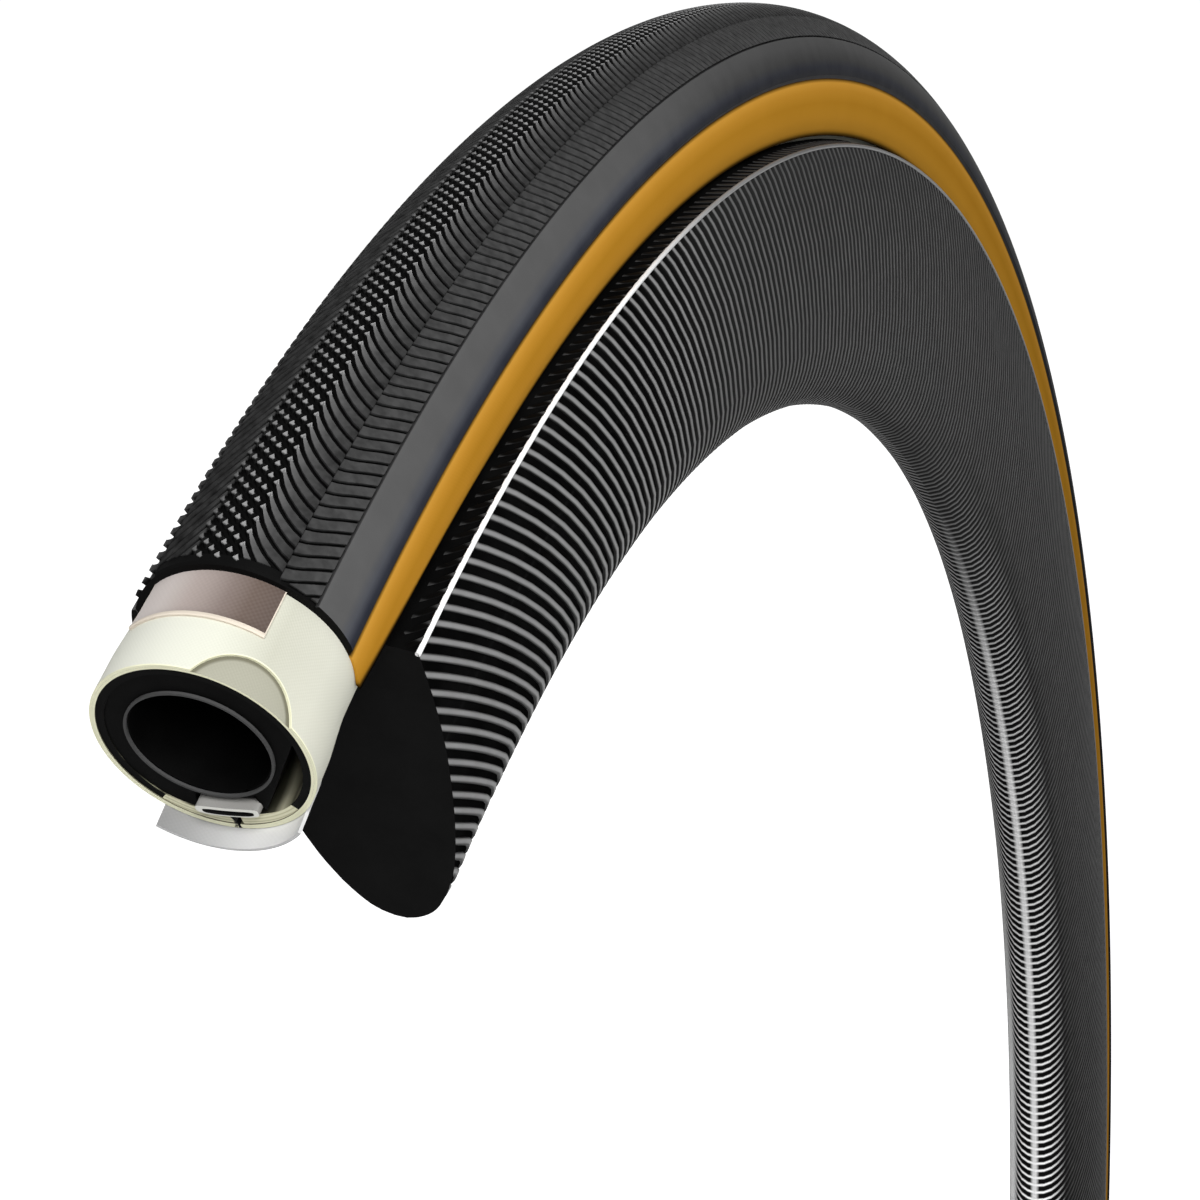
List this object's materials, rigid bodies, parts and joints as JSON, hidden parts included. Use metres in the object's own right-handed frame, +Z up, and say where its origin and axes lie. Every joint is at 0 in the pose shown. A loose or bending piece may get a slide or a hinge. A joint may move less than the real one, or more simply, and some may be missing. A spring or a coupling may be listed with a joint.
{
  "type": "tubular bicycle tire",
  "caption": "Tubular road bicycle tire with knobbed and grooved tread and amber sidewalls, on a ribbed deep rim, cut away in steps to show its layers.",
  "frame": {"origin": "middle of the wheel, where the axle's centre would be", "axes": "+Y along the axle, +Z up with the valve at the bottom of the wheel, and the left side of the wheel at -Y"},
  "size_m": [0.6739, 0.025, 0.674],
  "materials": {
    "tread_black": "satin",
    "tread_grey": "matte",
    "shoulder_grey": "satin",
    "sidewall_amber": "satin",
    "belt_fabric": "woven",
    "casing_cloth": "woven",
    "casing_cloth_inner": "woven",
    "lining_rubber": "matte",
    "hem_cloth": "woven",
    "thread": "twisted",
    "cover_tape": "woven",
    "base_tape": "woven",
    "tube_rubber": "satin",
    "cement": "glossy",
    "rim_ribbed": "ribbed",
    "rim_core": "matte",
    "patch_rubber": "matte",
    "plated_brass": "plated",
    "brass": "turned",
    "cap_plastic": "moulded"
  },
  "bodies": {
    "wheel": {"tread_centre": "tread_black", "tread_grooved_left": "tread_grey", "tread_grooved_right": "tread_grey", "tread_shoulder_left": "shoulder_grey", "tread_shoulder_right": "shoulder_grey", "sidewall_left": "sidewall_amber", "sidewall_right": "sidewall_amber", "puncture_belt": "belt_fabric", "casing_outer_ply": "casing_cloth", "casing_inner_ply": "casing_cloth_inner", "casing_lining": "lining_rubber", "hem_left": "hem_cloth", "hem_right": "hem_cloth", "seam_thread": "thread", "seam_cover_tape": "cover_tape", "base_tape": "base_tape", "inner_tube": "tube_rubber", "rim_cement": "cement", "rim_shell": "rim_ribbed", "rim_core": "rim_core", "valve_patch": "patch_rubber", "valve_stem": "plated_brass", "valve_core": "brass"},
    "pin": {"valve_pin": "brass", "valve_seal": "patch_rubber"},
    "lock_nut": {"valve_lock_nut": "brass"},
    "rim_nut": {"rim_nut": "plated_brass"},
    "cap": {"valve_cap": "cap_plastic"}
  },
  "joints": [
    {"name": "cap_pull", "type": "slide", "parent": "wheel", "child": "cap", "axis": [0, 0, 1], "range_m": [0, 0.07]},
    {"name": "pin_press", "type": "slide", "parent": "wheel", "child": "pin", "axis": [0, 0, -1], "range_m": [0, 0.0025]},
    {"name": "lock_nut_turn", "type": "hinge", "parent": "pin", "child": "lock_nut", "pos_m": [0, 0, -0.232], "axis": [0, 0, 1], "range_deg": [-360, 360]},
    {"name": "rim_nut_slide", "type": "slide", "parent": "wheel", "child": "rim_nut", "axis": [0, 0, 1], "range_m": [0, 0.006]}
  ]
}
